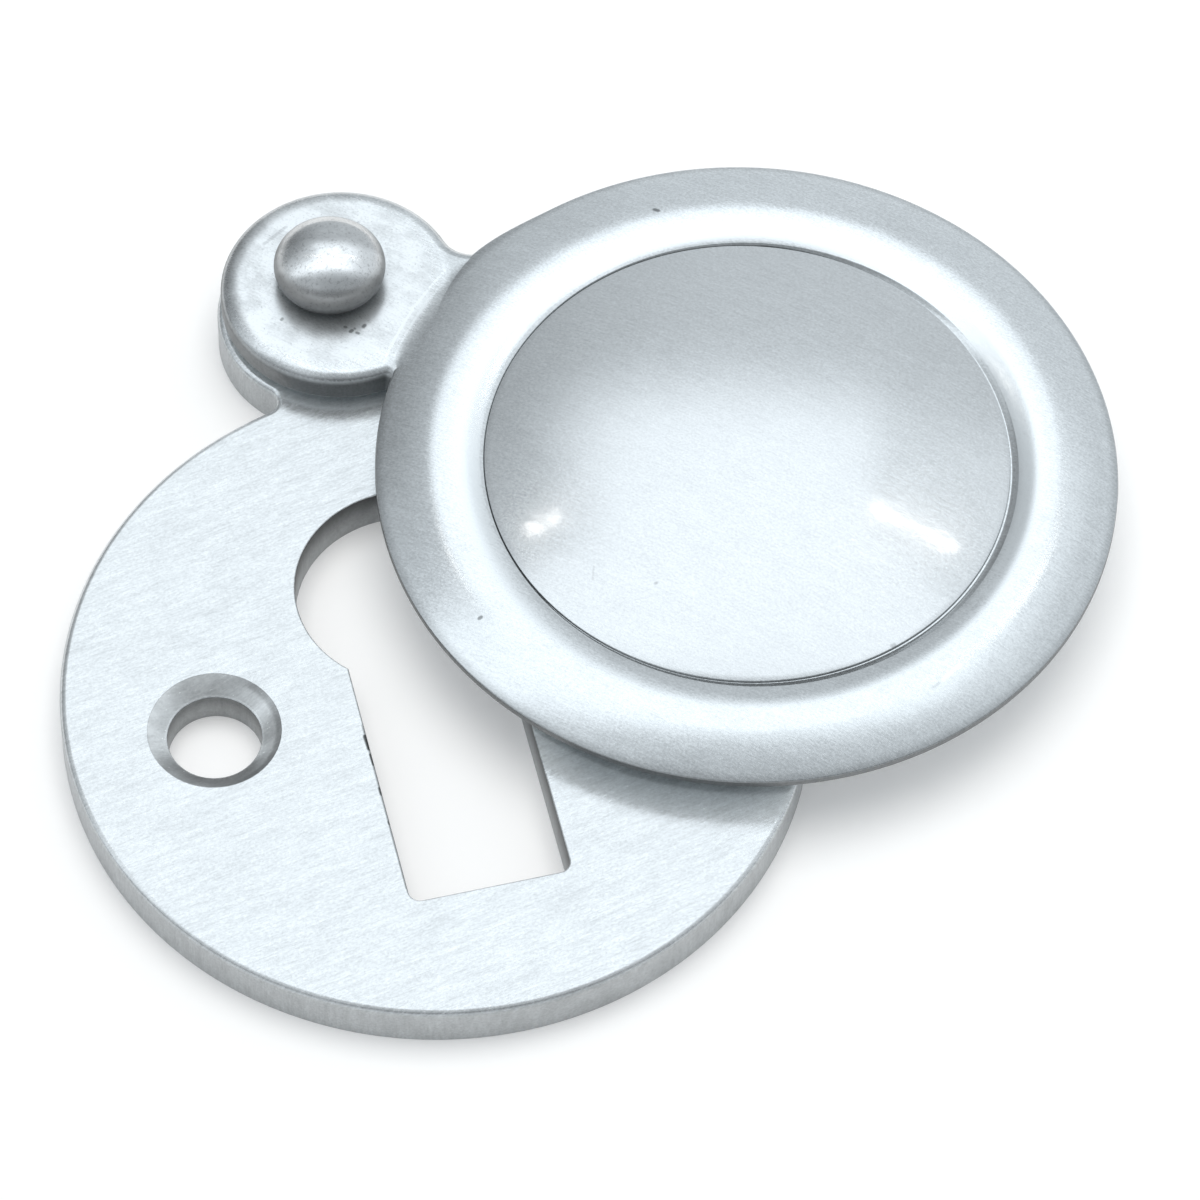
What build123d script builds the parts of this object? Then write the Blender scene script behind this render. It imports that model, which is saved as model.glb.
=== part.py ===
from build123d import *
import math
import os

# Covered keyhole escutcheon, in millimetres: a back plate with the keyhole, a swing cover and its pivot rivet.
# The origin is the middle of the plate's back face. +Z points out of the door and +Y towards the pivot ear.
# The cover is drawn closed, concentric with the plate, and is then swung open about the rivet.

# Ear of the plate, and of the cover: how far its centre stands beyond the plate's rim, and the pivot beyond that
EAR_DIAMETER = 10.2
EAR_STANDOFF = 4.1
EAR_BLEND_RADIUS = 0.6
PIVOT_SHIFT = 0.5

# Back plate
PLATE_DIAMETER = 32.0
PLATE_THICKNESS = 2.1
PLATE_EDGE_RADIUS = 0.3

# Keyhole: a round bow above a parallel slot
BOW_DIAMETER = 9.8
BOW_HEIGHT = 5.2
SLOT_WIDTH = 6.9
SLOT_DEPTH = 10.1
SLOT_CORNER_RADIUS = 0.5

# Countersunk screw holes, one on each side of the keyhole
SCREW_SPACING = 19.3
SCREW_HOLE_DIAMETER = 4.0
COUNTERSINK_DIAMETER = 5.7
COUNTERSINK_DEPTH = 0.6

# Swing cover: heights are measured from the underside of its ear, and angles are in degrees
OPEN_ANGLE = 48.2
COVER_OVERHANG = 0.05
COVER_EAR_OVERHANG = 0.15
COVER_EAR_THICKNESS = 1.3
EAR_EDGE_RADIUS = 0.5
RIM_LIFT = 0.45
RIM_UNDERCUT = 0.5
RIM_WALL = 0.3
RING_WIDTH = 4.7
RING_HEIGHT = 0.8
RING_CREST_INSET = 2.95
RING_CREST_RADIUS = 4.0
RING_SHOULDER_ANGLE = 13.0
RING_FALL = 0.25
GROOVE_WIDTH = 0.2
GROOVE_DEPTH = 0.2
DOME_STEP = 0.15
DOME_RISE = 1.3
SHEET_THICKNESS = 1.2

# Pivot rivet and its fits
SHANK_DIAMETER = 3.0
HEAD_DIAMETER = 4.9
HEAD_HEIGHT = 2.25
HEAD_WAIST_HEIGHT = 0.9
HEAD_SIDE_RADIUS = 1.0
TAIL_DIAMETER = 4.2
TAIL_DEPTH = 0.6
RUNNING_CLEARANCE = 0.05
PLATE_FIT_CLEARANCE = 0.02
COVER_GAP = 0.45
HEAD_GAP = 0.1

# Worked out from the sizes above
EAR_RADIUS = EAR_DIAMETER / 2
PLATE_RADIUS = PLATE_DIAMETER / 2
COVER_RADIUS = PLATE_RADIUS + COVER_OVERHANG
COVER_EAR_RADIUS = EAR_RADIUS + COVER_EAR_OVERHANG
EAR_OFFSET = PLATE_RADIUS + EAR_STANDOFF
PIVOT_OFFSET = EAR_OFFSET + PIVOT_SHIFT
PIVOT = Axis((0, PIVOT_OFFSET, 0), (0, 0, 1))
COVER_BASE = PLATE_THICKNESS + COVER_GAP
HEAD_BASE = COVER_BASE + COVER_EAR_THICKNESS + HEAD_GAP
SHANK_RADIUS = SHANK_DIAMETER / 2


def crossing_height(disc_radius, ear_radius):
    """Height of the line on which a circle about the disc's centre crosses one about the ear's centre."""
    return (disc_radius**2 - ear_radius**2 + EAR_OFFSET**2) / (2 * EAR_OFFSET)


def eared_disc(radius, ear_radius):
    """Flat outline of a disc with the round ear, joined by a hollow corner radius on each side."""
    disc_reach = radius + EAR_BLEND_RADIUS
    ear_reach = ear_radius + EAR_BLEND_RADIUS
    blend_y = crossing_height(disc_reach, ear_reach)
    blend_x = math.sqrt(disc_reach**2 - blend_y**2)
    disc_x = blend_x * radius / disc_reach
    disc_y = blend_y * radius / disc_reach
    ear_x = blend_x * ear_radius / ear_reach
    ear_y = EAR_OFFSET + (blend_y - EAR_OFFSET) * ear_radius / ear_reach
    with BuildSketch() as outline:
        with BuildLine():
            ThreePointArc((-disc_x, disc_y), (0, -radius), (disc_x, disc_y))
            ThreePointArc((-ear_x, ear_y), (0, EAR_OFFSET + ear_radius), (ear_x, ear_y))
            for side in (-1, 1):
                along_disc = (-side * disc_y, disc_x)
                TangentArc((side * disc_x, disc_y), (side * ear_x, ear_y), tangent=along_disc)
        make_face()
    return outline.sketch


def keyhole():
    """Flat outline of the keyhole, with crisp shoulders and small radii at the foot of the slot."""
    slot_length = BOW_HEIGHT + SLOT_DEPTH
    with BuildSketch() as outline:
        with Locations((0, BOW_HEIGHT - slot_length)):
            Rectangle(SLOT_WIDTH, slot_length, align=(Align.CENTER, Align.MIN))
        fillet(outline.vertices().group_by(Axis.Y)[0], SLOT_CORNER_RADIUS)
        with Locations((0, BOW_HEIGHT)):
            Circle(BOW_DIAMETER / 2)
    return outline.sketch


def countersunk_hole():
    """Screw hole to cut from the plate, wide at the front."""
    hole = Cylinder(SCREW_HOLE_DIAMETER / 2, PLATE_THICKNESS, align=(Align.CENTER, Align.CENTER, Align.MIN))
    countersink = Cone(
        SCREW_HOLE_DIAMETER / 2,
        COUNTERSINK_DIAMETER / 2,
        COUNTERSINK_DEPTH,
        align=(Align.CENTER, Align.CENTER, Align.MAX),
    )
    return hole + Pos(0, 0, PLATE_THICKNESS) * countersink


def rivet_hole(clearance):
    """Stepped hole for the shank and for the tail, which is headed over into the plate's back."""
    hole = Cylinder(SHANK_RADIUS + clearance, PLATE_THICKNESS, align=(Align.CENTER, Align.CENTER, Align.MIN))
    seat = Cone(
        TAIL_DIAMETER / 2 + clearance,
        SHANK_RADIUS + clearance,
        TAIL_DEPTH,
        align=(Align.CENTER, Align.CENTER, Align.MIN),
    )
    return hole + seat


def back_plate():
    plate = extrude(eared_disc(PLATE_RADIUS, EAR_RADIUS), PLATE_THICKNESS)
    plate = fillet(plate.edges().group_by(Axis.Z)[-1], PLATE_EDGE_RADIUS)
    plate -= extrude(keyhole(), PLATE_THICKNESS)
    for side in (-1, 1):
        plate -= Pos(side * SCREW_SPACING / 2, 0, 0) * countersunk_hole()
    return plate - Pos(0, PIVOT_OFFSET, 0) * rivet_hole(PLATE_FIT_CLEARANCE)


def cover_moulding():
    """The cover's disc, turned from its section: undercut rim, cushion ring, groove and dome over a hollow back."""
    lip = RIM_LIFT + RIM_UNDERCUT
    rim = (COVER_RADIUS, lip + RIM_WALL)
    crest = (COVER_RADIUS - RING_CREST_INSET, rim[1] + RING_HEIGHT)
    lean = math.radians(RING_SHOULDER_ANGLE)
    shoulder_drop = RING_CREST_RADIUS * (1 - math.cos(lean))
    shoulder = (crest[0] + RING_CREST_RADIUS * math.sin(lean), crest[1] - shoulder_drop)
    dome_radius = COVER_RADIUS - RING_WIDTH
    ring_foot = (dome_radius + GROOVE_WIDTH, crest[1] - RING_FALL)
    groove = (dome_radius, ring_foot[1] - GROOVE_DEPTH)
    dome_edge = (dome_radius, groove[1] + DOME_STEP)
    crown = (0, dome_edge[1] + DOME_RISE)
    hollow_crown = (0, crown[1] - SHEET_THICKNESS)
    hollow_edge = (dome_radius, RIM_LIFT)
    with BuildPart() as moulding:
        with BuildSketch(Plane.XZ):
            with BuildLine():
                TangentArc(hollow_crown, hollow_edge, tangent=(1, 0))
                Polyline(hollow_edge, (COVER_RADIUS - RIM_UNDERCUT, RIM_LIFT), (COVER_RADIUS, lip), rim)
                TangentArc(shoulder, rim, tangent=(math.cos(lean), -math.sin(lean)))
                TangentArc(crest, shoulder, tangent=(1, 0))
                TangentArc(crest, ring_foot, tangent=(-1, 0))
                Polyline(ring_foot, groove, dome_edge)
                TangentArc(crown, dome_edge, tangent=(1, 0))
                Line(crown, hollow_crown)
            make_face()
        revolve(axis=Axis.Z)
    return moulding.part


def cover_ear():
    """The flat ear with its round edge, which reaches lower than the rim so that only the ear bears on the plate."""
    tab = extrude(eared_disc(COVER_RADIUS, COVER_EAR_RADIUS), COVER_EAR_THICKNESS)
    tab = fillet(tab.edges().group_by(Axis.Z)[-1], EAR_EDGE_RADIUS)
    neck = crossing_height(COVER_RADIUS, COVER_EAR_RADIUS) - EAR_BLEND_RADIUS / 2
    ear_side = Pos(0, neck, 0) * Box(
        2 * COVER_RADIUS,
        EAR_OFFSET + COVER_EAR_RADIUS,
        2 * COVER_EAR_THICKNESS,
        align=(Align.CENTER, Align.MIN, Align.CENTER),
    )
    bore = Cylinder(
        SHANK_RADIUS + RUNNING_CLEARANCE,
        COVER_EAR_THICKNESS,
        align=(Align.CENTER, Align.CENTER, Align.MIN),
    )
    return (tab & ear_side) - Pos(0, PIVOT_OFFSET, 0) * bore


def swing_cover():
    cover = Pos(0, 0, COVER_BASE) * (cover_ear() + cover_moulding())
    return cover.rotate(PIVOT, OPEN_ANGLE)


def pivot_rivet():
    """One turned piece: round head drawn in below its waist, shank, and tail flush with the plate's back."""
    head_radius = HEAD_DIAMETER / 2
    waist = HEAD_BASE + HEAD_WAIST_HEIGHT
    top = HEAD_BASE + HEAD_HEIGHT
    rise = top - waist
    side_centre = head_radius - HEAD_SIDE_RADIUS
    crown_radius = (side_centre**2 + rise**2 - HEAD_SIDE_RADIUS**2) / (2 * (rise - HEAD_SIDE_RADIUS))
    lean = math.asin(side_centre / (crown_radius - HEAD_SIDE_RADIUS))
    shoulder = (crown_radius * math.sin(lean), top - crown_radius * (1 - math.cos(lean)))
    foot = (side_centre + math.sqrt(HEAD_SIDE_RADIUS**2 - HEAD_WAIST_HEIGHT**2), HEAD_BASE)
    with BuildPart() as rivet:
        with BuildSketch(Plane.XZ):
            with BuildLine():
                Polyline(
                    (0, top),
                    (0, 0),
                    (TAIL_DIAMETER / 2, 0),
                    (SHANK_RADIUS, TAIL_DEPTH),
                    (SHANK_RADIUS, HEAD_BASE),
                    foot,
                )
                ThreePointArc(foot, (head_radius, waist), shoulder)
                TangentArc((0, top), shoulder, tangent=(1, 0))
            make_face()
        revolve(axis=Axis.Z)
    return Pos(0, PIVOT_OFFSET, 0) * rivet.part


os.makedirs("parts", exist_ok=True)
export_step(back_plate(), "parts/back_plate.step")
export_step(swing_cover(), "parts/swing_cover.step")
export_step(pivot_rivet(), "parts/pivot_rivet.step")
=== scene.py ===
import bmesh
import bpy
import math
from mathutils import Matrix, Vector


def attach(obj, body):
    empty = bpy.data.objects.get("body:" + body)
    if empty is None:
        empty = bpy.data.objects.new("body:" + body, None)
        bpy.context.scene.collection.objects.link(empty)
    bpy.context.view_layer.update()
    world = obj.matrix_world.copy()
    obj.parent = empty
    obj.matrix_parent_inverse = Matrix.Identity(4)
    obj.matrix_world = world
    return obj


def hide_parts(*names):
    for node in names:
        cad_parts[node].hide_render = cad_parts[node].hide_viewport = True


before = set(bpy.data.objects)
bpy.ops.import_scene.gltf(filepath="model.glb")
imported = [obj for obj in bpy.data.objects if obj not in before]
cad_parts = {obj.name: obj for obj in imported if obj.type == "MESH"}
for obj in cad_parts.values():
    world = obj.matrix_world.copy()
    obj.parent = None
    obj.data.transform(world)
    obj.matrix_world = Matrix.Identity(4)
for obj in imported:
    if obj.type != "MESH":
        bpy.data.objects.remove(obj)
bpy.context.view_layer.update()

# Covered keyhole escutcheon in satin chrome.
# Sizes are in millimetres, as in the CAD model, and meshes are in metres.
MM = 0.001

# Ear, plate and keyhole
EAR_RADIUS = 5.1
EAR_OFFSET = 20.1
EAR_BLEND_RADII = (0.6, 0.6)
PIVOT_OFFSET = 20.6
PLATE_RADIUS = 16.0
PLATE_THICKNESS = 2.1
PLATE_EDGE_RADIUS = 0.3
BOW_RADIUS = 4.9
BOW_HEIGHT = 5.2
SLOT_WIDTH = 6.9
SLOT_DEPTH = 10.1
SLOT_CORNER_RADIUS = 0.5
KEYHOLE_EDGE_RADIUS = 0.08
SCREW_OFFSET = 9.65
SCREW_HOLE_RADIUS = 2.0
COUNTERSINK_RADIUS = 2.85
COUNTERSINK_DEPTH = 0.6
COUNTERSINK_EDGE_RADIUS = 0.1
CREASE_ANGLE = math.radians(32)

# Swing cover, with heights from the underside of its ear. Its centre is where it lies in plan when open.
OPEN_ANGLE = math.radians(48.2)
COVER_RADIUS = 16.05
COVER_EAR_RADIUS = 5.25
COVER_BLEND_RADII = (0.2, 1.4)
COVER_BASE = 2.55
COVER_CENTRE = (15.36, 6.87)
EAR_THICKNESS = 1.3
EAR_EDGE_INSETS = (0.5, 1.0)
EAR_EDGE_DROP = 0.55
EAR_EDGE_WIDE = math.radians(93)
EAR_UNDER_RADIUS = 0.08
EAR_FOOT_RADIUS = 16.55
EAR_FOOT_ROOT = 15.94
EAR_FOOT_SLOPE = math.radians(22.5)
EAR_FOOT_SPREADS = (math.radians(14), math.radians(10))
EAR_FOOT_TAPER = 1.02
EAR_FOOT_SINK = 0.2
RIM_LIFT = 0.12
RIM_UNDERCUT = 0.83
RIM_WALL = 0.3
RIM_EDGE_RADIUS = 0.1
RING_HEIGHT = 0.8
RING_CREST_INSET = 2.95
RING_CREST_RADIUS = 4.0
RING_SHOULDER = math.radians(13)
RING_FALL = 0.25
DOME_RADIUS = 11.35
GROOVE_WIDTH = 0.2
GROOVE_SHIFT = 0.17
GROOVE_SHIFT_RUNS = (0.1, 1.0)
GROOVE_SHIFT_END = 12.8
GROOVE_DEPTH = 0.2
DOME_STEP = 0.15
DOME_EDGE_RADIUS = 0.05
DOME_RISE = 1.3
SHEET_THICKNESS = 1.2
COVER_MIDDLE = 1.4
NECK_MARGIN = 0.005
NECK_RISE = 0.6
NECK_RISE_WIDTH = 0.6
RIM_SWELL = 0.25
RIM_SWELL_START = math.radians(30)
RIM_SWELL_END = math.radians(15)
RIM_SWELL_RADII = (13.5, 15.5)
COVER_BORE_RADIUS = 1.55

# Rivet
SHANK_RADIUS = 1.5
HEAD_BASE = 3.95
HEAD_RADIUS = 2.45
HEAD_HEIGHT = 2.25
HEAD_WAIST_HEIGHT = 0.9
HEAD_SIDE_RADIUS = 1.0
TAIL_RADIUS = 2.1
TAIL_DEPTH = 0.6
PLATE_FIT_CLEARANCE = 0.02

# Directions of the studio seen from the object: away from the viewer, to the right, and up
AWAY = Vector((0.27125, 0.96251, 0))
RIGHT = Vector((0.96251, -0.27125, 0))
UP = Vector((0, 0, 1))

# Parts of the plate's finish and of the light and shade painted on it, as distances from the middle of the
# plate or of a screw hole
HOLE_WALLS = (13.5, 12.5)
CONE_BAND = (SCREW_HOLE_RADIUS, 2.1, 2.8, COUNTERSINK_RADIUS)
CONE_EDGE_SHADE_BAND = (2.5, 2.7, 2.84, 2.92)
THROAT_BAND = (1.94, 1.99, 2.04, 2.12)
THROAT_HEIGHTS = (1.3, 1.45)

# Parts of the cover's finish and of the light and shade painted on it, as distances from the cover's
# centre, and for the ear from the pivot
DOME_PART = (DOME_RADIUS, DOME_RADIUS - 0.1)
GROOVE_PART = (11.9, 11.7)
RING_PART = (11.6, 11.8)
RING_INSIDE_BAND = (11.5, 11.6, 12.2, 13.2)
RIM_PART = (15.6, 16.0)
EAR_PART = (5.6, 4.0)
EAR_HIGHLIGHT_RADII = (16.26, 16.6)
EAR_HIGHLIGHT_WIDTHS = (0.03, 0.08)

# Levels of the finishes: the most that a colour is brightened, and the bare core of a mark such as a
# scratch or a painted highlight
LEVEL_LIMIT = 1.15
STROKE_CORE = 0.3

# Studio and floor. Lamps are a little warmer than the studio, so that the two together are white.
STUDIO_LEVEL = 0.66
STUDIO_COLOUR = (0.93, 1.0, 1.055, 1)
PANEL_LIGHT = 0.62
NEAR_LEFT_LIGHT = 0.2
NEAR_SHADE = 0.23
LOW_SHADE = 0.28
LAMP_WHITE = (1.0, 0.965, 0.92)
FLOOR_SIZE = 2.0
FLOOR_DROP = 0.02
FLOOR_GREY = (0.82, 0.82, 0.82, 1)
FLOOR_GLOW = 0.2

# Camera, in metres and degrees
CAMERA_LENS = 195.78
CAMERA_SENSOR = 36
CAMERA_PLACE = (-0.0334918, -0.1439060, 0.2369442)
CAMERA_TURN = (32.93832, -1.177945, -13.92158)

# Fineness of the meshes
DISC_STEPS = 240
EAR_STEPS = 72
BLEND_STEPS = 14
ROUND_STEPS = 64
EDGE_STEPS = 6
DOME_STEPS = 40
RING_STEPS = 16


def arc(centre, radius, start, end, steps):
    """Points from the start angle to the end angle, without the last one."""
    points = []
    for i in range(steps):
        angle = start + (end - start) * i / steps
        points.append((centre[0] + radius * math.cos(angle), centre[1] + radius * math.sin(angle)))
    return points


def circle(centre, radius, steps):
    return arc(centre, radius, 0, 2 * math.pi, steps)


def eared_outline(radius, ear_radius, blend_radii, inset):
    """Outline of a disc with the ear, drawn in by the inset. The blends are the left and the right one."""
    centres, ear_angles, disc_angles = [], [], []
    for blend in blend_radii:
        disc_reach = radius + blend
        ear_reach = ear_radius + blend
        blend_y = (disc_reach**2 - ear_reach**2 + EAR_OFFSET**2) / (2 * EAR_OFFSET)
        blend_x = math.sqrt(disc_reach**2 - blend_y**2)
        centres.append((blend_x, blend_y))
        ear_angles.append(math.atan2(blend_y - EAR_OFFSET, blend_x))
        disc_angles.append(math.atan2(blend_y, blend_x))
    half = math.pi
    left = (-centres[0][0], centres[0][1])
    left_radius, right_radius = [blend + inset for blend in blend_radii]
    points = arc((0, EAR_OFFSET), ear_radius - inset, ear_angles[1], half - ear_angles[0], EAR_STEPS)
    points += arc(left, left_radius, -ear_angles[0], -disc_angles[0], BLEND_STEPS)
    points += arc((0, 0), radius - inset, half - disc_angles[0], 2 * half + disc_angles[1], DISC_STEPS)
    points += arc(centres[1], right_radius, half + disc_angles[1], half + ear_angles[1], BLEND_STEPS)
    return points


def keyhole_outline(outset):
    """Outline of the keyhole, let out by the outset all round, from the right shoulder over the bow."""
    half = SLOT_WIDTH / 2 + outset
    bow = BOW_RADIUS + outset
    corner = SLOT_CORNER_RADIUS + outset
    shoulder = math.asin(half / bow)
    foot = -SLOT_DEPTH - outset
    right = half - corner
    quarter = math.pi / 2
    points = arc((0, BOW_HEIGHT), bow, shoulder - quarter, 3 * quarter - shoulder, ROUND_STEPS)
    points.append((-half, BOW_HEIGHT - math.sqrt(bow**2 - half**2)))
    points += arc((-right, foot + corner), corner, 2 * quarter, 3 * quarter, EDGE_STEPS)
    points.append((-right, foot))
    points += arc((right, foot + corner), corner, 3 * quarter, 4 * quarter, EDGE_STEPS)
    points.append((half, foot + corner))
    return points


def at_height(points, height):
    return [(x, y, height) for x, y in points]


def add_loop(bm, points):
    return [bm.verts.new(Vector(p) * MM) for p in points]


def bridge(bm, first, second):
    for i in range(len(first)):
        bm.faces.new((first[i - 1], first[i], second[i], second[i - 1]))


def add_wall(bm, loops):
    """Closed wall through loops of the same length. Returns its first and last loop."""
    made = [add_loop(bm, points) for points in loops]
    for first, second in zip(made, made[1:]):
        bridge(bm, first, second)
    return made[0], made[-1]


def add_cap(bm, loops):
    """Flat face inside the first loop, with the others as holes."""
    edges = []
    for loop in loops:
        for i in range(len(loop)):
            edges.append(bm.edges.get((loop[i - 1], loop[i])) or bm.edges.new((loop[i - 1], loop[i])))
    bmesh.ops.triangle_fill(bm, use_beauty=True, use_dissolve=False, edges=edges)


def add_turned(bm, section, steps, centre=(0, 0)):
    """Surface turned about the upright axis through centre. A section point on the axis closes it there."""
    loops = []
    for radius, height in section:
        if radius == 0:
            loops.append([bm.verts.new(Vector((centre[0], centre[1], height)) * MM)])
        else:
            loops.append(add_loop(bm, at_height(circle(centre, radius, steps), height)))
    for first, second in zip(loops, loops[1:]):
        if len(first) == 1:
            for i in range(steps):
                bm.faces.new((first[0], second[i - 1], second[i]))
        elif len(second) == 1:
            for i in range(steps):
                bm.faces.new((first[i - 1], first[i], second[0]))
        else:
            bridge(bm, first, second)
    return loops[0], loops[-1]


def rounded_edge(width, drop, height, steps):
    """Insets and heights of a rounded upper edge, from the wall to the flat."""
    section = []
    for i in range(steps + 1):
        angle = math.pi / 2 * i / steps
        section.append((width * (1 - math.cos(angle)), height - drop * (1 - math.sin(angle))))
    return section


def tangent_arc(start, end, steps, slope=0.0):
    """Section points on the arc from start to end that leaves the start with that downward slope."""
    run, drop = abs(end[0] - start[0]), start[1] - end[1]
    chord = math.atan2(drop, run)
    turn = 2 * (chord - slope)
    bend = math.hypot(run, drop) / (2 * math.sin(turn / 2))
    points = []
    for i in range(steps + 1):
        angle = slope + turn * i / steps
        along = bend * (math.sin(angle) - math.sin(slope))
        down = bend * (math.cos(slope) - math.cos(angle))
        points.append((start[0] + math.copysign(along, end[0] - start[0]), start[1] - down))
    return points


def rounded_corner(before, corner, after, radius):
    """Section points that round the corner between its two neighbours."""
    corner = Vector(corner)
    back = (Vector(before) - corner).normalized()
    on = (Vector(after) - corner).normalized()
    half = back.angle(on) / 2
    reach = radius / math.tan(half)
    centre = corner + (back + on).normalized() * (radius / math.sin(half))
    first = corner + back * reach - centre
    turn = first.angle_signed(corner + on * reach - centre)
    points = []
    for i in range(EDGE_STEPS + 1):
        angle = -turn * i / EDGE_STEPS
        points.append(tuple(centre + Matrix.Rotation(angle, 2) @ first))
    return points


def make_piece(bm, name, body, node, material):
    """Turns the mesh into a smooth-shaded piece with crisp creases that stands for the CAD node."""
    bmesh.ops.recalc_face_normals(bm, faces=bm.faces)
    mesh = bpy.data.meshes.new(name)
    bm.to_mesh(mesh)
    bm.free()
    mesh.shade_smooth()
    mesh.set_sharp_from_angle(angle=CREASE_ANGLE)
    mesh.materials.append(material)
    piece = bpy.data.objects.new(name, mesh)
    bpy.context.scene.collection.objects.link(piece)
    normals = piece.modifiers.new("flat_faces_lead", "WEIGHTED_NORMAL")
    normals.mode = "FACE_AREA"
    normals.weight = 100
    normals.keep_sharp = True
    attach(piece, body)
    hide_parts(node)


def back_plate_mesh():
    """Flat plate with the ear, the keyhole, two countersunk holes and the stepped hole for the rivet."""
    bm = bmesh.new()
    edge = rounded_edge(PLATE_EDGE_RADIUS, PLATE_EDGE_RADIUS, PLATE_THICKNESS, EDGE_STEPS)
    sides = []
    for inset, height in [(0, 0)] + edge:
        outline = eared_outline(PLATE_RADIUS, EAR_RADIUS, EAR_BLEND_RADII, inset)
        sides.append(at_height(outline, height))
    bottom, top = add_wall(bm, sides)
    bottom_loops, top_loops = [bottom], [top]
    key_edge = rounded_edge(KEYHOLE_EDGE_RADIUS, KEYHOLE_EDGE_RADIUS, PLATE_THICKNESS, EDGE_STEPS)
    key_sides = [at_height(keyhole_outline(outset), height) for outset, height in [(0, 0)] + key_edge]
    bottom, top = add_wall(bm, key_sides)
    bottom_loops.append(bottom)
    top_loops.append(top)
    sink_height = PLATE_THICKNESS - COUNTERSINK_DEPTH
    sink = (COUNTERSINK_RADIUS, PLATE_THICKNESS)
    throat = (SCREW_HOLE_RADIUS, sink_height)
    for side in (-1, 1):
        centre = (side * SCREW_OFFSET, 0)
        flat = (COUNTERSINK_RADIUS + COUNTERSINK_EDGE_RADIUS, PLATE_THICKNESS)
        section = [(SCREW_HOLE_RADIUS, 0)]
        section += rounded_corner((SCREW_HOLE_RADIUS, 0), throat, sink, COUNTERSINK_EDGE_RADIUS)
        section += rounded_corner(throat, sink, flat, COUNTERSINK_EDGE_RADIUS / 2)
        bottom, top = add_turned(bm, section, ROUND_STEPS, centre)
        bottom_loops.append(bottom)
        top_loops.append(top)
    hole = SHANK_RADIUS + PLATE_FIT_CLEARANCE
    seat = [(TAIL_RADIUS + PLATE_FIT_CLEARANCE, 0), (hole, TAIL_DEPTH), (hole, PLATE_THICKNESS)]
    bottom, top = add_turned(bm, seat, ROUND_STEPS, (0, PIVOT_OFFSET))
    add_cap(bm, bottom_loops + [bottom])
    add_cap(bm, top_loops + [top])
    return bm


def cover_section():
    """Section of the cover's disc, from the crown over groove, ring and rim to the hollow back's crown."""
    lip = (COVER_RADIUS, RIM_LIFT + RIM_UNDERCUT)
    rim = (COVER_RADIUS, lip[1] + RIM_WALL)
    crest = (COVER_RADIUS - RING_CREST_INSET, rim[1] + RING_HEIGHT)
    shoulder_drop = RING_CREST_RADIUS * (1 - math.cos(RING_SHOULDER))
    shoulder = (crest[0] + RING_CREST_RADIUS * math.sin(RING_SHOULDER), crest[1] - shoulder_drop)
    ring_foot = (DOME_RADIUS + GROOVE_WIDTH, crest[1] - RING_FALL)
    groove = (DOME_RADIUS, ring_foot[1] - GROOVE_DEPTH)
    dome_edge = (DOME_RADIUS, groove[1] + DOME_STEP)
    crown = (0, dome_edge[1] + DOME_RISE)
    dome = tangent_arc(crown, dome_edge, DOME_STEPS)
    inner = tangent_arc(crest, ring_foot, RING_STEPS)[::-1]
    outer = tangent_arc(crest, shoulder, RING_STEPS)
    outer += tangent_arc(shoulder, rim, RING_STEPS, RING_SHOULDER)[1:-1]
    section = dome[:-1]
    section += rounded_corner(dome[-2], dome_edge, groove, DOME_EDGE_RADIUS)
    section += rounded_corner(dome_edge, groove, ring_foot, DOME_EDGE_RADIUS / 2)
    section += rounded_corner(groove, ring_foot, inner[1], DOME_EDGE_RADIUS)
    section += inner[2:] + outer[1:]
    section += rounded_corner(outer[-1], rim, lip, RIM_EDGE_RADIUS)
    section += [lip, (COVER_RADIUS - RIM_UNDERCUT, RIM_LIFT)]
    hollow = tangent_arc((0, crown[1] - SHEET_THICKNESS), (DOME_RADIUS, RIM_LIFT), DOME_STEPS)
    return section + hollow[::-1]


def smooth(value):
    """0 below 0, 1 above 1, with an even run between."""
    value = min(max(value, 0), 1)
    return value * value * (3 - 2 * value)


def shift_groove(bm):
    """The dome sits a little off centre in the ring, so its groove is widest away from the ear."""
    for vert in bm.verts:
        radius = math.hypot(vert.co.x, vert.co.y) / MM
        if vert.co.z > COVER_MIDDLE * MM:
            share = smooth((radius - DOME_RADIUS) / GROOVE_SHIFT_RUNS[0])
            share *= smooth((GROOVE_SHIFT_END - radius) / GROOVE_SHIFT_RUNS[1])
            vert.co.y -= GROOVE_SHIFT * MM * share


def swell_rim(bm):
    """The rim swells a little towards the ear on its right side, where the two run into each other."""
    for vert in bm.verts:
        radius = math.hypot(vert.co.x, vert.co.y) / MM
        angle = math.atan2(vert.co.x, vert.co.y)
        if angle > 0:
            share = smooth((RIM_SWELL_START - angle) / (RIM_SWELL_START - RIM_SWELL_END))
            share *= smooth((radius - RIM_SWELL_RADII[0]) / (RIM_SWELL_RADII[1] - RIM_SWELL_RADII[0]))
            share *= smooth(angle / RIM_SWELL_END)
            vert.co.xy += vert.co.xy.normalized() * RIM_SWELL * MM * share


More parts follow.
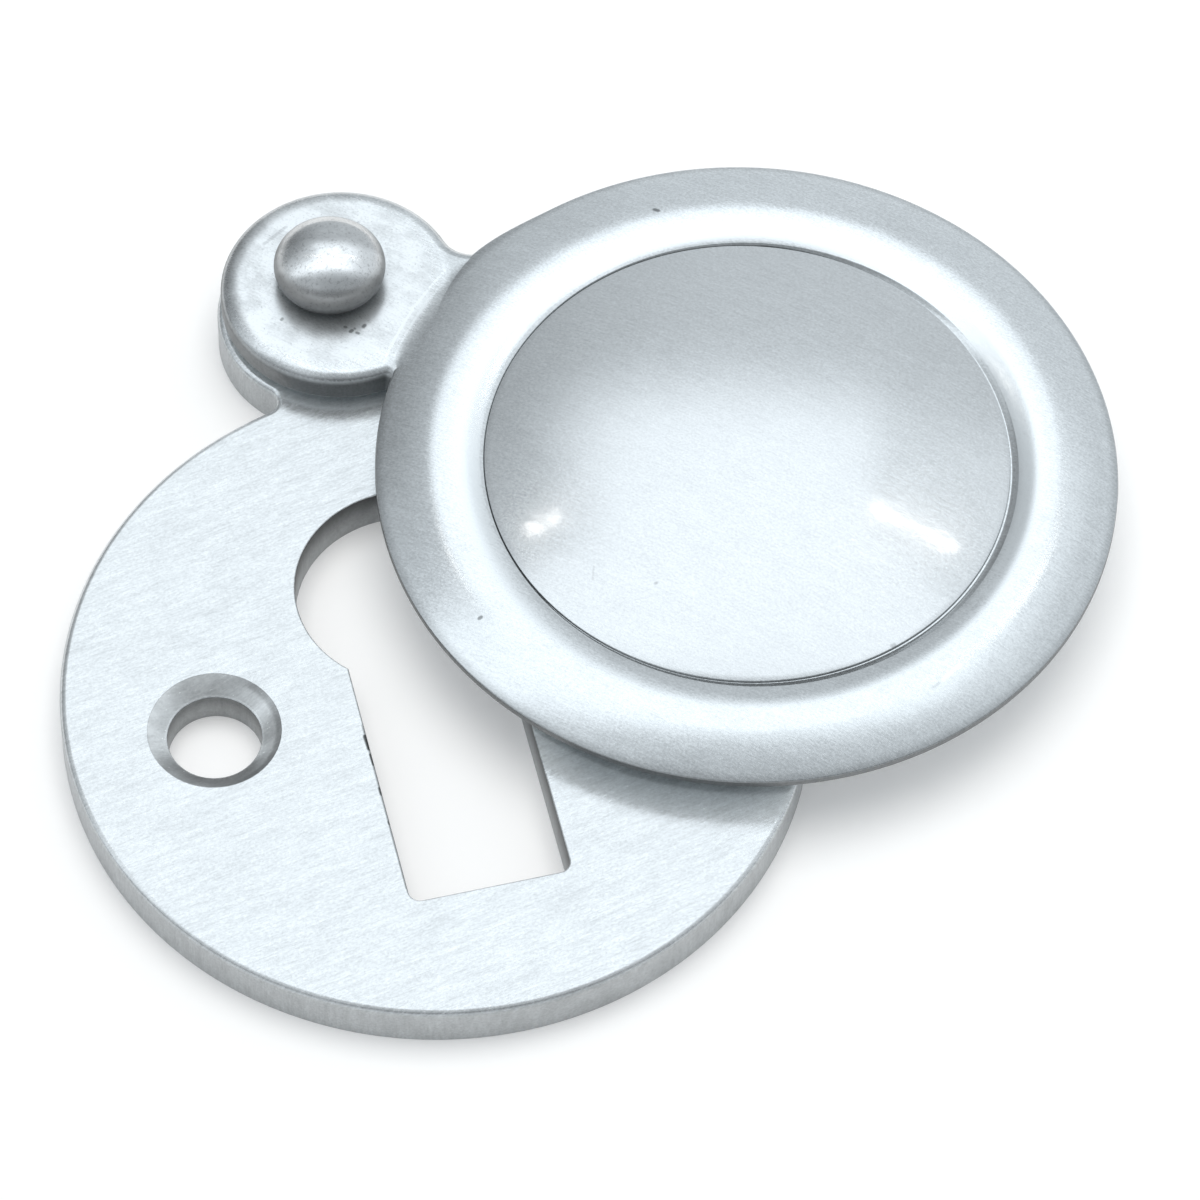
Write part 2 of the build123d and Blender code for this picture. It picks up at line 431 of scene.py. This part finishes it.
def add_ear_foot(bm):
    """Hollow web where the ear runs up into the ring, tapering off towards the ear's two sides."""
    loops = []
    for i in range(EAR_STEPS + 1):
        across = 2 * i / EAR_STEPS - 1
        reach = (EAR_FOOT_RADIUS - EAR_FOOT_ROOT) * math.sqrt(EAR_FOOT_TAPER - across**4)
        climb_radius = EAR_FOOT_ROOT - reach * math.cos(EAR_FOOT_SLOPE)
        climb_height = EAR_THICKNESS + reach * math.sin(EAR_FOOT_SLOPE)
        sunk = EAR_THICKNESS - EAR_FOOT_SINK
        section = [(climb_radius, sunk), (EAR_FOOT_ROOT + reach, sunk)]
        for j in range(EDGE_STEPS * 2 + 1):
            t = j / (EDGE_STEPS * 2)
            flat, bend, steep = (1 - t) ** 2, 2 * t * (1 - t), t**2
            radius = flat * (EAR_FOOT_ROOT + reach) + bend * EAR_FOOT_ROOT + steep * climb_radius
            section.append((radius, (flat + bend) * EAR_THICKNESS + steep * climb_height))
        angle = math.pi / 2 + across * EAR_FOOT_SPREADS[across > 0]
        loops.append([(r * math.cos(angle), r * math.sin(angle), z) for r, z in section])
    first, last = add_wall(bm, loops)
    bm.faces.new(first)
    bm.faces.new(last)


def swing_cover_mesh():
    """Turned disc with the flat ear on it, swung open about the pivot."""
    bm = bmesh.new()
    add_turned(bm, cover_section(), DISC_STEPS)
    shift_groove(bm)
    swell_rim(bm)
    add_ear_foot(bm)
    full = eared_outline(COVER_RADIUS, COVER_EAR_RADIUS, COVER_BLEND_RADII, 0)
    drawn_in = eared_outline(COVER_RADIUS, COVER_EAR_RADIUS, COVER_BLEND_RADII, 1)
    kept = [i for i, p in enumerate(full) if math.hypot(p[0], p[1]) > COVER_RADIUS + NECK_MARGIN]
    under = rounded_edge(EAR_UNDER_RADIUS, EAR_UNDER_RADIUS, EAR_UNDER_RADIUS, EDGE_STEPS)
    edges = [(inset, EAR_UNDER_RADIUS - height) for inset, height in under[::-1]]
    rises = []
    for i in kept:
        beyond = math.hypot(full[i][0], full[i][1]) - COVER_RADIUS
        rises.append(NECK_RISE * smooth(1 - beyond / NECK_RISE_WIDTH) if full[i][0] > 0 else 0)
    loops = []
    for inset, height in edges:
        outline = eared_outline(COVER_RADIUS, COVER_EAR_RADIUS, COVER_BLEND_RADII, inset)
        loops.append([(*outline[i], height + rise) for i, rise in zip(kept, rises)])
    for inset, height in rounded_edge(1, EAR_EDGE_DROP, EAR_THICKNESS, EDGE_STEPS * 2):
        points = []
        for i in kept:
            angle = math.atan2(full[i][1] - EAR_OFFSET, full[i][0])
            wide = 0.5 + 0.5 * math.cos(angle - EAR_EDGE_WIDE)
            share = inset * (EAR_EDGE_INSETS[0] + (EAR_EDGE_INSETS[1] - EAR_EDGE_INSETS[0]) * wide)
            points.append(tuple(Vector(full[i]).lerp(Vector(drawn_in[i]), share)))
        loops.append(at_height(points, height))
    ear_foot, ear_top = add_wall(bm, loops)
    bore = [(COVER_BORE_RADIUS, 0), (COVER_BORE_RADIUS, EAR_THICKNESS)]
    bore_foot, bore_top = add_turned(bm, bore, ROUND_STEPS, (0, PIVOT_OFFSET))
    add_cap(bm, [ear_foot, bore_foot])
    add_cap(bm, [ear_top, bore_top])
    hinge = Matrix.Translation(Vector((0, PIVOT_OFFSET, COVER_BASE)) * MM)
    to_pivot = Matrix.Translation(Vector((0, -PIVOT_OFFSET, 0)) * MM)
    swing = hinge @ Matrix.Rotation(OPEN_ANGLE, 4, "Z") @ to_pivot
    bmesh.ops.transform(bm, matrix=swing, verts=bm.verts)
    return bm


def pivot_rivet_mesh():
    """Domed head drawn in below its waist, shank, and tail flush with the plate's back."""
    bm = bmesh.new()
    waist = HEAD_BASE + HEAD_WAIST_HEIGHT
    top = HEAD_BASE + HEAD_HEIGHT
    side = HEAD_RADIUS - HEAD_SIDE_RADIUS
    tuck = math.asin(HEAD_WAIST_HEIGHT / HEAD_SIDE_RADIUS)
    section = []
    for i in range(2 * RING_STEPS):
        angle = math.pi / 2 * i / (2 * RING_STEPS)
        section.append((HEAD_RADIUS * math.sin(angle), waist + (top - waist) * math.cos(angle)))
    for i in range(RING_STEPS + 1):
        angle = tuck * i / RING_STEPS
        radius = side + HEAD_SIDE_RADIUS * math.cos(angle)
        section.append((radius, waist - HEAD_SIDE_RADIUS * math.sin(angle)))
    section += [(SHANK_RADIUS, HEAD_BASE), (SHANK_RADIUS, TAIL_DEPTH), (TAIL_RADIUS, 0), (0, 0)]
    add_turned(bm, section, ROUND_STEPS, (0, PIVOT_OFFSET))
    return bm


class Nodes:
    """Short forms for the nodes of one shader tree."""

    def __init__(self, tree):
        self.tree = tree
        self.place = self.new("ShaderNodeTexCoord")

    def new(self, kind):
        return self.tree.nodes.new(kind)

    def put(self, value, socket):
        if isinstance(value, bpy.types.NodeSocket):
            self.tree.links.new(value, socket)
        else:
            socket.default_value = value

    def math(self, operation, *values):
        node = self.new("ShaderNodeMath")
        node.operation = operation
        for value, socket in zip(values, node.inputs):
            self.put(value, socket)
        return node.outputs["Value"]

    def vector(self, operation, first, second, output="Vector"):
        node = self.new("ShaderNodeVectorMath")
        node.operation = operation
        self.put(first, node.inputs[0])
        self.put(second, node.inputs[1])
        return node.outputs[output]

    def ramp(self, value, low, high, start=0.0, end=1.0, kind="SMOOTHSTEP"):
        node = self.new("ShaderNodeMapRange")
        node.interpolation_type = kind
        self.put(value, node.inputs["Value"])
        node.inputs["From Min"].default_value = low
        node.inputs["From Max"].default_value = high
        node.inputs["To Min"].default_value = start
        node.inputs["To Max"].default_value = end
        return node.outputs["Result"]

    def band(self, value, low, low_edge, high_edge, high):
        """1 between the edges, falling smoothly to 0 at low and high."""
        return self.math("MULTIPLY", self.ramp(value, low, low_edge), self.ramp(value, high, high_edge))

    def noise(self, size, turn=0.0, detail=2.0, roughness=0.6):
        """Noise with features of that size in millimetres along the object's axes, turned about Z."""
        mapping = self.new("ShaderNodeMapping")
        mapping.vector_type = "TEXTURE"
        mapping.inputs["Rotation"].default_value = (0, 0, turn)
        mapping.inputs["Scale"].default_value = [length * MM for length in size]
        noise = self.new("ShaderNodeTexNoise")
        noise.inputs["Scale"].default_value = 1.0
        noise.inputs["Detail"].default_value = detail
        noise.inputs["Roughness"].default_value = roughness
        self.put(self.place.outputs["Object"], mapping.inputs["Vector"])
        self.put(mapping.outputs["Vector"], noise.inputs["Vector"])
        return noise.outputs["Fac"]

    def blend(self, factor, first, second):
        node = self.new("ShaderNodeMix")
        self.put(factor, node.inputs["Factor"])
        self.put(first, node.inputs["A"])
        self.put(second, node.inputs["B"])
        return node.outputs["Result"]

    def tinted(self, level, colour):
        """The colour times a level."""
        node = self.new("ShaderNodeVectorMath")
        node.operation = "SCALE"
        node.inputs[0].default_value = colour
        self.put(level, node.inputs["Scale"])
        return node.outputs["Vector"]

    def distance(self, centre):
        """Distance in millimetres from the upright axis through a point of the object's plan."""
        offset = self.vector("SUBTRACT", self.place.outputs["Object"], Vector((*centre, 0)) * MM)
        offset = self.vector("MULTIPLY", offset, (1, 1, 0))
        length = self.vector("LENGTH", offset, (0, 0, 0), "Value")
        return self.math("DIVIDE", length, MM)

    def facing(self, direction):
        """How far the surface faces that way: 1 when it does, 0 across it and -1 when turned from it."""
        return self.vector("DOT_PRODUCT", self.place.outputs["Normal"], direction, "Value")

    def height(self):
        """Height over the plate's back in millimetres."""
        return self.vector("DOT_PRODUCT", self.place.outputs["Object"], UP / MM, "Value")

    def times(self, *values):
        """Product of several values."""
        product = values[0]
        for value in values[1:]:
            product = self.math("MULTIPLY", product, value)
        return product

    def stroke(self, start, end, width):
        """1 along the line between two points of the plan in millimetres, falling to 0 at the width."""
        start, end = Vector((*start, 0)) * MM, Vector((*end, 0)) * MM
        run = end - start
        place = self.vector("MULTIPLY", self.place.outputs["Object"], (1, 1, 0))
        offset = self.vector("SUBTRACT", place, start)
        share = self.vector("DOT_PRODUCT", offset, run / run.length_squared, "Value")
        along = self.new("ShaderNodeVectorMath")
        along.operation = "SCALE"
        along.inputs[0].default_value = run
        self.put(self.ramp(share, 0, 1, kind="LINEAR"), along.inputs["Scale"])
        length = self.vector("DISTANCE", offset, along.outputs["Vector"], "Value")
        return self.ramp(length, width * MM, width * MM * STROKE_CORE)

    def marked(self, level, marks):
        """The level with marks: each has start, end, width and the share of the level that it leaves."""
        for start, end, width, share in marks:
            mark = self.stroke(start, end, width)
            level = self.times(level, self.blend(mark, 1.0, share))
        return level

    def seen(self):
        """1 where it is looked at, also by way of a mirror or glass, and 0 where it only gives light."""
        rays = self.new("ShaderNodeLightPath").outputs
        mirrored = self.math("MAXIMUM", rays["Is Glossy Ray"], rays["Is Transmission Ray"])
        return self.math("MAXIMUM", rays["Is Camera Ray"], mirrored)

    def bump(self, height, depth):
        """Normal of a surface whose height varies by the depth in millimetres."""
        node = self.new("ShaderNodeBump")
        node.inputs["Strength"].default_value = 1.0
        node.inputs["Distance"].default_value = depth * MM
        self.put(height, node.inputs["Height"])
        return node.outputs["Normal"]


def new_material(name):
    material = bpy.data.materials.new(name)
    material.use_nodes = True
    shader = material.node_tree.nodes["Principled BSDF"]
    shader.inputs["Metallic"].default_value = 1.0
    return material, shader, Nodes(material.node_tree)


def brushed_texture(nodes, turn, streak_share, grain_share):
    """Fine lines, wider streaks and grain. The lines run along the object's X axis, turned about Z."""
    fine = nodes.noise((0.9, 0.06, 0.9), turn, 3.0, 0.6)
    streaks = nodes.noise((1.7, 0.28, 1.7), turn, 4.0, 0.7)
    grain = nodes.noise((0.13, 0.09, 0.12), turn, 2.0)
    return nodes.blend(grain_share, nodes.blend(streak_share, fine, streaks), grain)


def set_brush(nodes, shader, across, amount):
    """Stretches the highlights to one side, as brush lines at right angles to it do."""
    tangent = nodes.new("ShaderNodeVectorTransform")
    tangent.vector_type = "VECTOR"
    tangent.convert_from = "OBJECT"
    tangent.convert_to = "WORLD"
    tangent.inputs["Vector"].default_value = across
    nodes.put(tangent.outputs["Vector"], shader.inputs["Tangent"])
    shader.inputs["Anisotropic"].default_value = amount


def plate_metal(name, colour, roughness, turn, marks):
    """Brushed plate. Its outer wall is duller. Painted shade darkens the walls of its holes towards the
    front face, and light and shade are painted on its countersinks, with a painted highlight at their
    throats.
    """
    material, shader, nodes = new_material(name)
    texture = brushed_texture(nodes, turn, 0.55, 0.4)
    cloud = nodes.noise((2.2, 1.4, 2.0), turn, 3.0)
    wall = nodes.band(nodes.facing(UP), -0.6, -0.1, 0.3, 0.86)
    inner = nodes.ramp(nodes.distance((0, 0)), *HOLE_WALLS)
    # Painted shade on the walls of the holes, darkest towards the front face.
    hole_wall_shade = nodes.ramp(nodes.height(), 0.2, PLATE_THICKNESS, 0.55, 0.12)
    # Painted light and shade on the countersinks: lighter where they face right, darker where they face
    # away, with a mottle.
    sink = nodes.ramp(nodes.facing(RIGHT), 0.15, 0.5, 0.92, 1.15)
    sink = nodes.times(sink, nodes.ramp(nodes.facing(AWAY), 0.1, 0.45, 1.0, 0.5))
    sink = nodes.times(sink, nodes.ramp(cloud, 0.35, 0.65, 0.85, 1.1))

    level = nodes.ramp(texture, 0.36, 0.64, 0.78, 1.14, "LINEAR")
    level = nodes.times(level, nodes.ramp(cloud, 0.3, 0.7, 0.97, 1.02, "LINEAR"))
    level = nodes.times(level, nodes.blend(wall, 1.0, nodes.blend(inner, 0.66, hole_wall_shade)))
    cones = []
    for side in (-1, 1):
        reach = nodes.distance((side * SCREW_OFFSET, 0))
        cone = nodes.band(reach, *CONE_BAND)
        # Painted shade on the outer band of each countersink where it faces left.
        cone_edge_shade = nodes.times(nodes.band(reach, *CONE_EDGE_SHADE_BAND), nodes.ramp(nodes.facing(RIGHT), -0.1, -0.4))
        # A thin ring painted brighter at each throat, a painted highlight.
        throat = nodes.times(nodes.band(reach, *THROAT_BAND), nodes.ramp(nodes.height(), *THROAT_HEIGHTS))
        cones.append(cone)
        level = nodes.times(level, nodes.blend(cone, 1.0, sink), nodes.blend(cone_edge_shade, 1.0, 0.6))
        level = nodes.times(level, nodes.blend(throat, 1.0, 1.3))
    level = nodes.math("MINIMUM", nodes.marked(level, marks), LEVEL_LIMIT)
    nodes.put(nodes.tinted(level, colour), shader.inputs["Base Color"])

    rough = nodes.ramp(texture, 0.3, 0.7, roughness - 0.05, roughness + 0.05, "LINEAR")
    nodes.put(nodes.blend(wall, rough, 0.5), shader.inputs["Roughness"])
    nodes.put(nodes.bump(texture, 0.003), shader.inputs["Normal"])
    set_brush(nodes, shader, (-math.sin(turn), math.cos(turn), 0), 0.4)
    nodes.put(nodes.blend(nodes.math("MAXIMUM", *cones), 0.8, 0.55), shader.inputs["Metallic"])
    return material


def cover_metal(name, colour, roughness, turn, marks):
    """Brushed cover with a clear bright dome, a dull mottled ear, dark walls and an unpolished back that is
    painted paler. Shade is painted on the ear's edges and on the step at the groove, light and shade on the
    inside of the ring, and thin highlights across the ear's foot.
    """
    material, shader, nodes = new_material(name)
    texture = brushed_texture(nodes, turn, 0.35, 0.55)
    cloud = nodes.noise((1.8, 1.3, 1.8), turn, 4.0)
    wall = nodes.band(nodes.facing(UP), -0.4, -0.1, 0.3, 0.86)
    back = nodes.ramp(nodes.facing(UP), -0.2, -0.5)
    reach = nodes.distance(COVER_CENTRE)
    dome = nodes.ramp(reach, *DOME_PART)
    groove = nodes.ramp(reach, *GROOVE_PART)
    ear = nodes.ramp(nodes.distance((0, PIVOT_OFFSET)), *EAR_PART)
    not_ear = nodes.ramp(ear, 0.3, 0.0)
    outward = nodes.math("MAXIMUM", nodes.facing(AWAY), nodes.facing(-RIGHT))
    # Painted shade on the ear's edges that face away from the viewer or to the left.
    edge = nodes.times(ear, nodes.ramp(outward, 0.06, 0.5))
    rim = nodes.times(nodes.ramp(reach, *RIM_PART), not_ear, nodes.ramp(back, 1.0, 0.0))
    ring = nodes.times(nodes.ramp(reach, *RING_PART), not_ear)
    # Painted light and shade on the inside of the ring: lighter, and darker where it turns away from the
    # viewer.
    inside = nodes.band(reach, *RING_INSIDE_BAND)
    turned_away_shade = nodes.ramp(nodes.facing(AWAY), 0.06, 0.24)
    specks = nodes.times(ear, nodes.ramp(nodes.noise((0.16, 0.16, 0.16), turn, 2.0), 0.62, 0.72))

    level = nodes.ramp(texture, 0.36, 0.64, 0.84, 1.12, "LINEAR")
    level = nodes.times(level, nodes.ramp(cloud, 0.3, 0.7, 0.97, 1.02, "LINEAR"))
    level = nodes.times(level, nodes.blend(ear, 1.0, nodes.ramp(cloud, 0.36, 0.62, 0.96, 1.18)))
    # Thin painted highlights across the ear's foot.
    core, width = EAR_HIGHLIGHT_WIDTHS
    for radius in EAR_HIGHLIGHT_RADII:
        line = nodes.band(reach, radius - width, radius - core, radius + core, radius + width)
        level = nodes.times(level, nodes.blend(nodes.times(ear, line), 1.0, 1.2))
    shares = [
        (edge, 0.5),
        # Walls are darker, a duller finish; on the step at the groove this is also painted shade.
        (wall, nodes.blend(groove, 0.36, 0.38)),
        (dome, 0.88),
        (ring, 1.06),
        (inside, nodes.blend(turned_away_shade, 1.2, 0.85)),
        (rim, 0.75),
        (specks, 0.75),
        # The back is painted paler than the front, painted light that lightens the shade under the rim.
        (back, 1.15),
    ]
    for part, share in shares:
        level = nodes.times(level, nodes.blend(part, 1.0, share))
    level = nodes.math("MINIMUM", nodes.marked(level, marks), LEVEL_LIMIT)
    nodes.put(nodes.tinted(level, colour), shader.inputs["Base Color"])

    rough = nodes.ramp(texture, 0.3, 0.7, roughness - 0.05, roughness + 0.05, "LINEAR")
    rough = nodes.blend(ear, rough, 0.3)
    nodes.put(nodes.blend(nodes.math("MAXIMUM", wall, back), rough, 0.5), shader.inputs["Roughness"])
    nodes.put(nodes.blend(back, nodes.blend(ear, 0.92, 0.8), 0.2), shader.inputs["Metallic"])
    nodes.put(nodes.bump(texture, 0.0025), shader.inputs["Normal"])
    set_brush(nodes, shader, (-math.sin(turn), math.cos(turn), 0), 0.4)
    nodes.put(dome, shader.inputs["Coat Weight"])
    shader.inputs["Coat Roughness"].default_value = 0.08
    shader.inputs["Coat IOR"].default_value = 2.8
    waves = nodes.noise((1.6, 1.2, 1.2), turn, 2.0)
    nodes.put(nodes.bump(waves, 0.006), shader.inputs["Coat Normal"])
    return material


def rivet_metal(name, colour, roughness):
    """Polished plating with a painted highlight across the crown, pitted by the hammer, and duller towards
    its foot, where shade is painted, with a painted shadow under the tuck.
    """
    material, shader, nodes = new_material(name)
    cloud = nodes.noise((0.7, 0.7, 0.5), 0.0, 4.0)
    specks = nodes.ramp(nodes.noise((0.13, 0.13, 0.13), 0.0, 2.0), 0.5, 0.75)
    # Painted shade on the lower slopes, which are also rougher and less metallic.
    foot = nodes.ramp(nodes.facing(UP), 0.88, 0.45)
    # Painted shadow under the tuck, where the head meets the ear.
    tuck_shadow = nodes.ramp(nodes.facing(UP), 0.1, -0.3)
    # Painted highlight in a band across the crown; elsewhere the level is lower.
    crown_highlight = nodes.band(nodes.facing(AWAY), -0.4, -0.24, 0.0, 0.16)
    level = nodes.ramp(cloud, 0.3, 0.7, 0.88, 1.06, "LINEAR")
    level = nodes.times(level, nodes.blend(crown_highlight, 0.78, 1.05), nodes.blend(specks, 1.0, 0.72))
    level = nodes.times(level, nodes.blend(foot, 1.0, 0.44), nodes.blend(tuck_shadow, 1.0, 0.3))
    nodes.put(nodes.tinted(level, colour), shader.inputs["Base Color"])
    rough = nodes.ramp(cloud, 0.3, 0.7, roughness + 0.03, roughness - 0.03, "LINEAR")
    nodes.put(nodes.blend(foot, rough, 0.5), shader.inputs["Roughness"])
    nodes.put(nodes.blend(foot, 1.0, 0.35), shader.inputs["Metallic"])
    nodes.put(nodes.bump(cloud, 0.006), shader.inputs["Normal"])
    set_brush(nodes, shader, RIGHT, 0.9)
    return material


def studio_direction(side, height):
    """Unit vector to a point of the studio: degrees to the right, and degrees up from the far horizon."""
    u, v = math.radians(side), math.radians(height)
    return RIGHT * math.sin(u) + (AWAY * math.cos(v) + UP * math.sin(v)) * math.cos(u)


def make_world():
    """Soft studio: pale grey all round, a large bright panel overhead, and darker left and near sides.

    Angles are in degrees: the height runs from the far horizon over the top, and the side to the right.
    """
    world = bpy.data.worlds.new("studio")
    world.use_nodes = True
    background = world.node_tree.nodes["Background"]
    nodes = Nodes(world.node_tree)
    looking = nodes.place.outputs["Generated"]
    up, away, right = [nodes.vector("DOT_PRODUCT", looking, way, "Value") for way in (UP, AWAY, RIGHT)]
    height = nodes.math("DEGREES", nodes.math("ARCTAN2", up, away))
    side = nodes.math("DEGREES", nodes.math("ARCSINE", right))
    high = nodes.math("MAXIMUM", nodes.math("SUBTRACT", height, 67), 0.0)
    left_edge = nodes.ramp(nodes.math("MULTIPLY_ADD", high, 2.0, side), -20, -10)
    leftward = nodes.math("MINIMUM", side, 0.0)
    near_edge = nodes.ramp(nodes.math("MULTIPLY_ADD", leftward, 0.3, height), 90, 82)
    lower = nodes.ramp(height, 64, 72, 0, 9, "LINEAR")
    right_edge = nodes.ramp(nodes.math("SUBTRACT", side, lower), 14, 11)
    right_edge = nodes.blend(0.42, right_edge, nodes.ramp(side, 36, 26))
    panel = nodes.times(nodes.ramp(height, 42, 55), near_edge, left_edge, right_edge)
    left = nodes.math("MULTIPLY", nodes.ramp(side, 2, -40), nodes.ramp(height, 72, 40, 0.1, 0.43))
    near_left = nodes.math("MULTIPLY", nodes.ramp(side, -6, -20), nodes.ramp(height, 86, 98))
    near = nodes.math("MULTIPLY", nodes.band(height, 88, 108, 146, 166), NEAR_SHADE)
    low = nodes.math("MULTIPLY", nodes.band(height, 118, 142, 148, 164), LOW_SHADE)
    level = nodes.math("MULTIPLY_ADD", panel, PANEL_LIGHT, STUDIO_LEVEL)
    level = nodes.math("MULTIPLY_ADD", near_left, NEAR_LEFT_LIGHT, level)
    for shade in (left, near, low):
        level = nodes.math("SUBTRACT", level, shade)
    nodes.put(level, background.inputs["Strength"])
    background.inputs["Color"].default_value = STUDIO_COLOUR
    bpy.context.scene.world = world


def make_lamp(name, target, start, end, distance, width, radiance, mirrored=True):
    """Rectangular lamp that reaches from one direction of the studio to another, facing the target."""
    ends = [target + studio_direction(*direction) * distance for direction in (start, end)]
    data = bpy.data.lights.new(name, "AREA")
    data.shape = "RECTANGLE"
    data.size = (ends[1] - ends[0]).length
    data.size_y = width
    data.energy = radiance * data.size * data.size_y * math.pi
    data.color = LAMP_WHITE
    lamp = bpy.data.objects.new(name, data)
    lamp.location = (ends[0] + ends[1]) / 2
    back = (lamp.location - target).normalized()
    along = (ends[1] - ends[0]).normalized()
    lamp.rotation_euler = Matrix((along, back.cross(along), back)).transposed().to_euler()
    lamp.visible_glossy = mirrored
    bpy.context.scene.collection.objects.link(lamp)


def make_floor():
    """Plain white floor with a faint glow of its own where it is looked at."""
    bm = bmesh.new()
    bmesh.ops.create_grid(bm, x_segments=1, y_segments=1, size=FLOOR_SIZE)
    mesh = bpy.data.meshes.new("floor")
    bm.to_mesh(mesh)
    bm.free()
    floor = bpy.data.objects.new("floor", mesh)
    floor.location = (0, 0, -FLOOR_DROP * MM)
    bpy.context.scene.collection.objects.link(floor)
    material = bpy.data.materials.new("floor_white")
    material.use_nodes = True
    tree = material.node_tree
    tree.nodes.clear()
    nodes = Nodes(tree)
    diffuse = nodes.new("ShaderNodeBsdfDiffuse")
    diffuse.inputs["Color"].default_value = FLOOR_GREY
    glow = nodes.new("ShaderNodeEmission")
    nodes.put(nodes.times(nodes.seen(), FLOOR_GLOW), glow.inputs["Strength"])
    add = nodes.new("ShaderNodeAddShader")
    nodes.put(diffuse.outputs["BSDF"], add.inputs[0])
    nodes.put(glow.outputs["Emission"], add.inputs[1])
    output = nodes.new("ShaderNodeOutputMaterial")
    nodes.put(add.outputs["Shader"], output.inputs["Surface"])
    mesh.materials.append(material)


def make_camera():
    data = bpy.data.cameras.new("camera")
    data.lens = CAMERA_LENS
    data.sensor_width = CAMERA_SENSOR
    data.clip_start = 0.01
    camera = bpy.data.objects.new("camera", data)
    camera.location = CAMERA_PLACE
    camera.rotation_euler = [math.radians(turn) for turn in CAMERA_TURN]
    bpy.context.scene.collection.objects.link(camera)
    bpy.context.scene.camera = camera


# Colours, and the marks: start, end and width in plan, and the share of the level that each leaves. A share
# above 1 makes a painted highlight.
SATIN = (0.8, 0.825, 0.835)
POLISHED = (0.94, 0.95, 0.95)
PLATE_MARKS = [
    # A dark line along the left edge of the slot, and nicks on that edge
    ((-3.51, -1.2), (-3.49, -9.4), 0.07, 0.6),
    ((-3.53, -1.75), (-3.5, -2.4), 0.12, 0.15),
    ((-3.5, -2.7), (-3.48, -3.2), 0.09, 0.2),
    ((-3.5, -4.4), (-3.49, -4.7), 0.1, 0.3),
    ((-3.49, -6.1), (-3.48, -6.2), 0.08, 0.4),
]
COVER_WEAR_AND_GLINTS = [
    ((14.66, 20.5), (14.8, 20.4), 0.13, 0.35),
    ((7.48, 2.66), (7.3, 2.1), 0.07, 0.8),
    ((9.8, 1.15), (9.86, 1.15), 0.09, 0.6),
    ((18.9, -3.8), (19.02, -3.78), 0.12, 0.6),
    ((2.2, 1.45), (2.28, 1.48), 0.12, 0.4),
    # A painted glint on the rim's scratch, then the scratch itself
    ((20.4, -6.1), (21.4, -5.5), 0.13, 1.14),
    ((19.98, -6.34), (20.4, -6.1), 0.09, 0.85),
    ((0.25, 17.6), (0.33, 17.64), 0.12, 0.35),
    ((0.06, 17.9), (0.1, 17.87), 0.1, 0.45),
    ((0.5, 17.47), (0.56, 17.43), 0.1, 0.4),
    ((0.45, 17.72), (0.47, 17.7), 0.07, 0.5),
    ((0.86, 17.73), (0.92, 17.78), 0.13, 0.3),
    ((-2.55, 18.9), (-2.5, 18.95), 0.1, 0.5),
    ((-2.42, 23.07), (-1.28, 23.76), 0.12, 0.8),
    # Plating blobs on the ear, painted bright as highlights
    ((-3.33, 21.5), (-3.3, 21.8), 0.25, 1.15),
    ((-3.86, 20.4), (-3.84, 20.7), 0.22, 1.15),
]
plate_finish = plate_metal("plate_satin", SATIN, 0.24, math.radians(11), PLATE_MARKS)
cover_finish = cover_metal("cover_satin", SATIN, 0.19, OPEN_ANGLE + math.pi / 2, COVER_WEAR_AND_GLINTS)
rivet_finish = rivet_metal("rivet_polished", POLISHED, 0.2)

make_piece(back_plate_mesh(), "plate_satin_body", "plate", "back_plate", plate_finish)
make_piece(swing_cover_mesh(), "cover_satin_body", "cover", "swing_cover", cover_finish)
make_piece(pivot_rivet_mesh(), "rivet_body", "plate", "pivot_rivet", rivet_finish)

dome = Vector((*COVER_CENTRE, 5.5)) * MM
make_world()
make_lamp("key_lamp", dome, (-22, 81), (22, 83), 0.7, 0.6, 2.35, mirrored=False)
make_lamp("left_lamp", dome, (-20.5, 64.9), (-18.7, 64.5), 0.6, 0.018, 3.0)
make_lamp("second_left_lamp", dome, (-18.2, 64.1), (-17.0, 63.7), 0.6, 0.013, 3.0)
make_lamp("right_lamp", dome, (13.3, 62.2), (22, 65), 0.6, 0.012, 3.0)
make_floor()
make_camera()
bpy.context.scene.view_settings.view_transform = "Standard"
